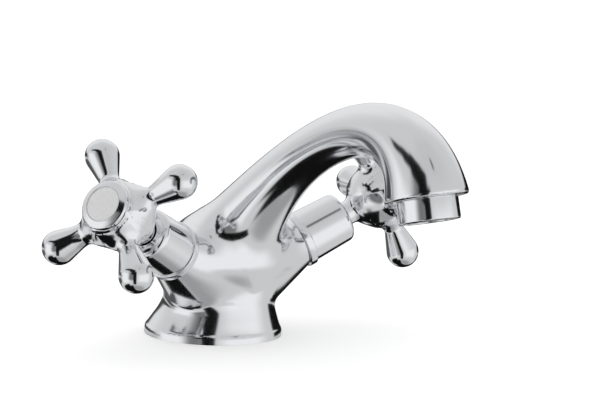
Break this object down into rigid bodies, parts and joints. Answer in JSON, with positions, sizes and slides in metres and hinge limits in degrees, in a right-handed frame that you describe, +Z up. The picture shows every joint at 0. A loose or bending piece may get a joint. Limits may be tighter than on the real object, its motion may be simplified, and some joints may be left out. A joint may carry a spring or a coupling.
{
  "type": "basin mixer tap",
  "caption": "Basin mixer tap: a flared round foot and cast body with raised valve arms, domed bonnet covers, cross handles with ball ends and a fixed arched spout.",
  "frame": {"origin": "centre of the foot's underside, which rests on the basin", "axes": "+Z up, the spout reaches toward -Y, hot valve at -X and cold valve at +X"},
  "size_m": [0.1796, 0.1716, 0.1063],
  "materials": {
    "chrome": "mirror-polished chrome plate on brass",
    "satin_chrome": "satin, finely turned",
    "rubber": "matt black nitrile rubber",
    "mesh_plastic": "pale grey acetal with a fine grid",
    "brass": "turned, bare",
    "ceramic": "lapped white alumina",
    "steel": "stainless, as turned"
  },
  "bodies": {
    "root": {"body": "chrome", "base_seal": "rubber", "aerator_housing": "chrome", "aerator_insert": "mesh_plastic", "aerator_washer": "rubber", "hot_headwork": "brass", "hot_seat_seal": "rubber", "hot_fixed_disc": "ceramic", "hot_bonnet_cover": "chrome", "cold_headwork": "brass", "cold_seat_seal": "rubber", "cold_fixed_disc": "ceramic", "cold_bonnet_cover": "chrome"},
    "hot_handle": {"hot_moving_disc": "ceramic", "hot_spindle": "brass", "hot_spindle_o_rings": "rubber", "hot_circlip": "steel", "hot_cross_handle": "chrome", "hot_handle_screw": "steel", "hot_index_ring": "chrome", "hot_index_disc": "satin_chrome"},
    "cold_handle": {"cold_moving_disc": "ceramic", "cold_spindle": "brass", "cold_spindle_o_rings": "rubber", "cold_circlip": "steel", "cold_cross_handle": "chrome", "cold_handle_screw": "steel", "cold_index_ring": "chrome", "cold_index_disc": "satin_chrome"}
  },
  "joints": [
    {"name": "hot_turn", "type": "hinge", "parent": "root", "child": "hot_handle", "pos_m": [0, -0.003, 0.0214], "axis": [-0.8502, -0.2795, 0.4462], "range_deg": [0, 90]},
    {"name": "cold_turn", "type": "hinge", "parent": "root", "child": "cold_handle", "pos_m": [0, -0.003, 0.0214], "axis": [0.8502, -0.2795, 0.4462], "range_deg": [-90, 0]}
  ]
}
